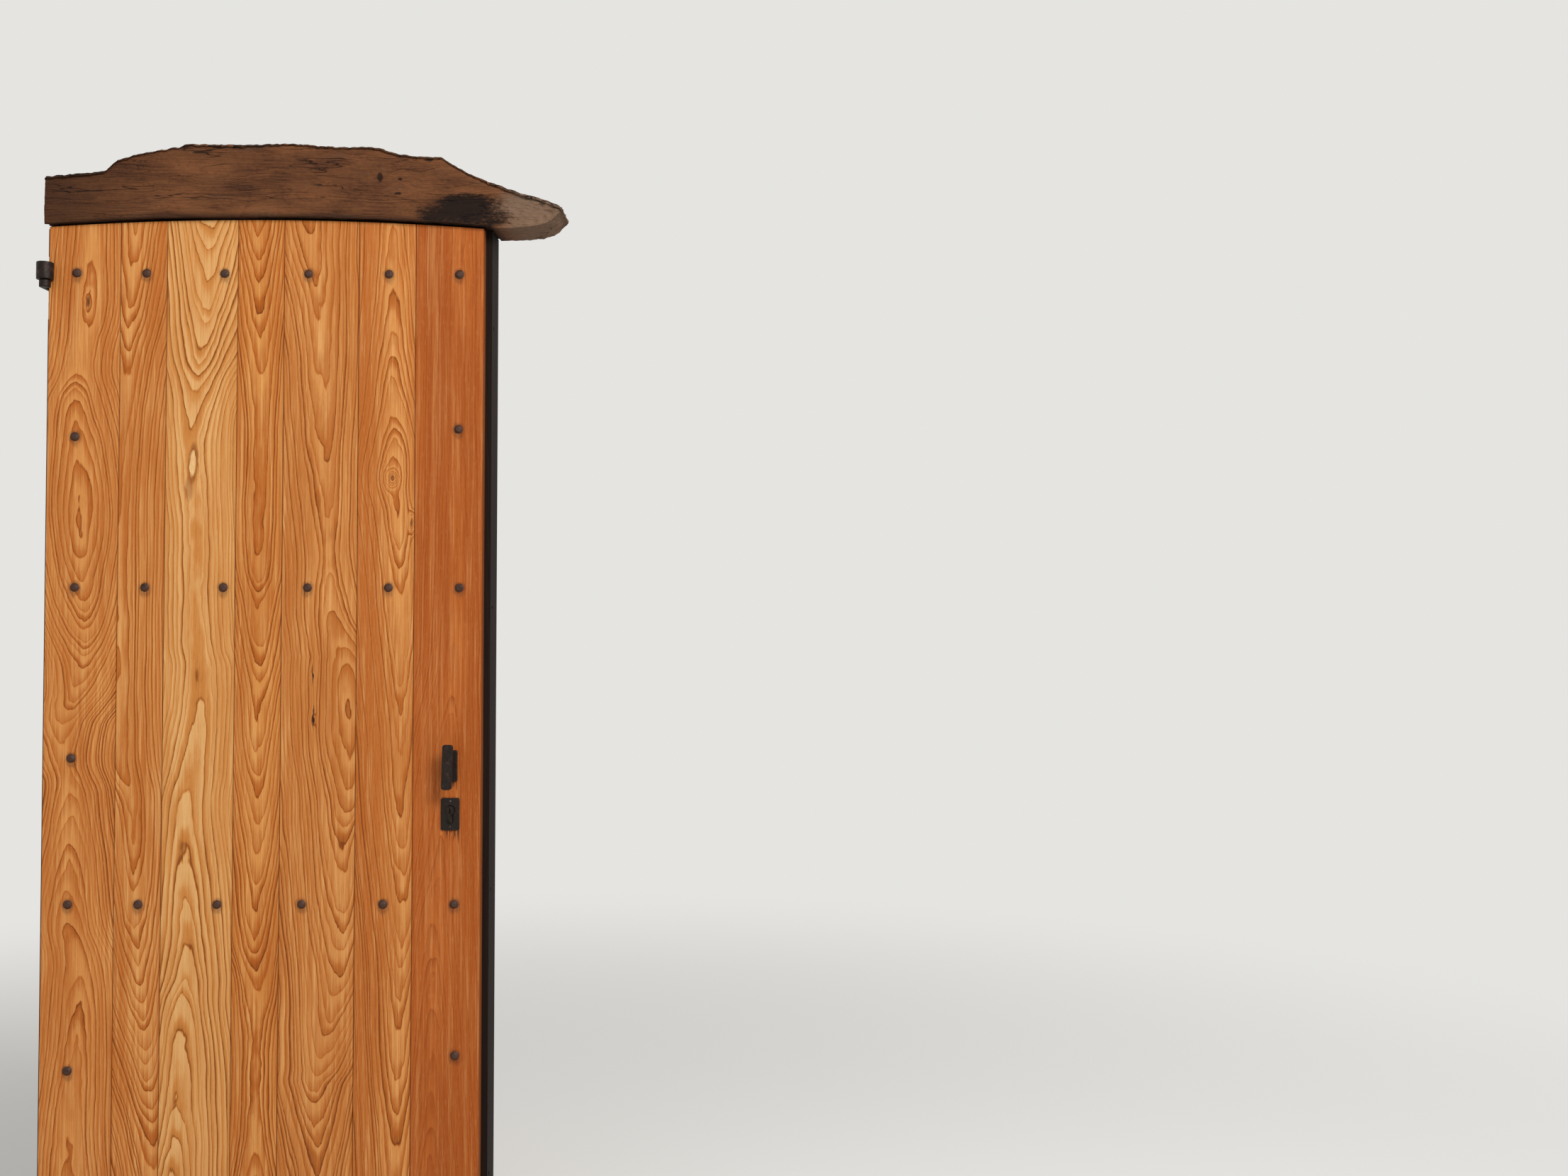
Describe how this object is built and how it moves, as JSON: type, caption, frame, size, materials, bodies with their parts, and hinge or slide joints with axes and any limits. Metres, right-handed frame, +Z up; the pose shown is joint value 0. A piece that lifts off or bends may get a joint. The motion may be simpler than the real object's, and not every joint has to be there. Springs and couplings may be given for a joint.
{
  "type": "arched plank door",
  "caption": "Nailed plank door leaf with a shallow arched head, hung on strap hinges in its timber frame under a rough hewn lintel, with forged pulls and a cylinder deadlock.",
  "frame": {"origin": "floor level, under the middle of the overall box", "axes": "+Z up, +X from the hinge edge to the lock edge, -Y towards the viewer outside"},
  "size_m": [0.9894, 0.135, 2.186],
  "materials": {
    "board_wood": "oiled softwood, open grain",
    "inner_wood": "planed and oiled",
    "frame_wood": "dark stain",
    "old_timber": "rough, weathered",
    "peg_wood": "plain",
    "forged_iron": "hammered, blackened",
    "dull_steel": "dull",
    "dark_brass": "burnished dark"
  },
  "bodies": {
    "frame": {"lintel": "old_timber", "lintel_pegs": "peg_wood", "lining_hinge": "frame_wood", "lining_lock": "frame_wood", "stop_hinge": "frame_wood", "stop_lock": "frame_wood", "head": "frame_wood", "head_stop": "frame_wood", "pintle_top": "forged_iron", "pintle_bottom": "forged_iron", "pintle_spikes": "dull_steel", "strike_plate": "dull_steel", "strike_spikes": "dull_steel"},
    "leaf": {"board_1": "board_wood", "board_2": "board_wood", "board_3": "board_wood", "board_4": "board_wood", "board_5": "board_wood", "board_6": "board_wood", "board_7": "board_wood", "stile_hinge": "inner_wood", "stile_lock": "inner_wood", "rail_top": "inner_wood", "rail_upper": "inner_wood", "rail_lower": "inner_wood", "rail_bottom": "inner_wood", "framing_pegs": "peg_wood", "strap_top": "forged_iron", "strap_bottom": "forged_iron", "nails": "forged_iron", "pull_plate_outer": "forged_iron", "pull_stem_outer": "forged_iron", "pull_bar_outer": "forged_iron", "pull_plate_inner": "forged_iron", "pull_stem_inner": "forged_iron", "pull_bar_inner": "forged_iron", "pull_spindle": "dull_steel", "escutcheon_outer": "forged_iron", "escutcheon_inner": "forged_iron", "cover_pins": "dull_steel", "lock_case": "dull_steel", "lock_forend": "dull_steel", "forend_screws": "dull_steel", "cylinder_body": "dark_brass", "cylinder_screw": "dull_steel"},
    "key_plug": {"plug_outer": "dark_brass", "plug_inner": "dark_brass", "cam": "dark_brass"},
    "bolt": {"deadbolt": "dull_steel"}
  },
  "joints": [
    {"name": "leaf_swing", "type": "hinge", "parent": "frame", "child": "leaf", "pos_m": [-0.47925, -0.046, 1.036], "axis": [0, 0, -1], "range_deg": [0, 100]},
    {"name": "key_turn", "type": "hinge", "parent": "leaf", "child": "key_plug", "pos_m": [0.28875, 0.011, 0.916], "axis": [0, 1, 0], "range_deg": [0, 360]},
    {"name": "bolt_throw", "type": "slide", "parent": "leaf", "child": "bolt", "axis": [1, 0, 0], "range_m": [0, 0.02]}
  ],
  "couplings": [
    {"joint": "key_turn", "follows": "bolt_throw", "rad_per_m": 314.15}
  ]
}
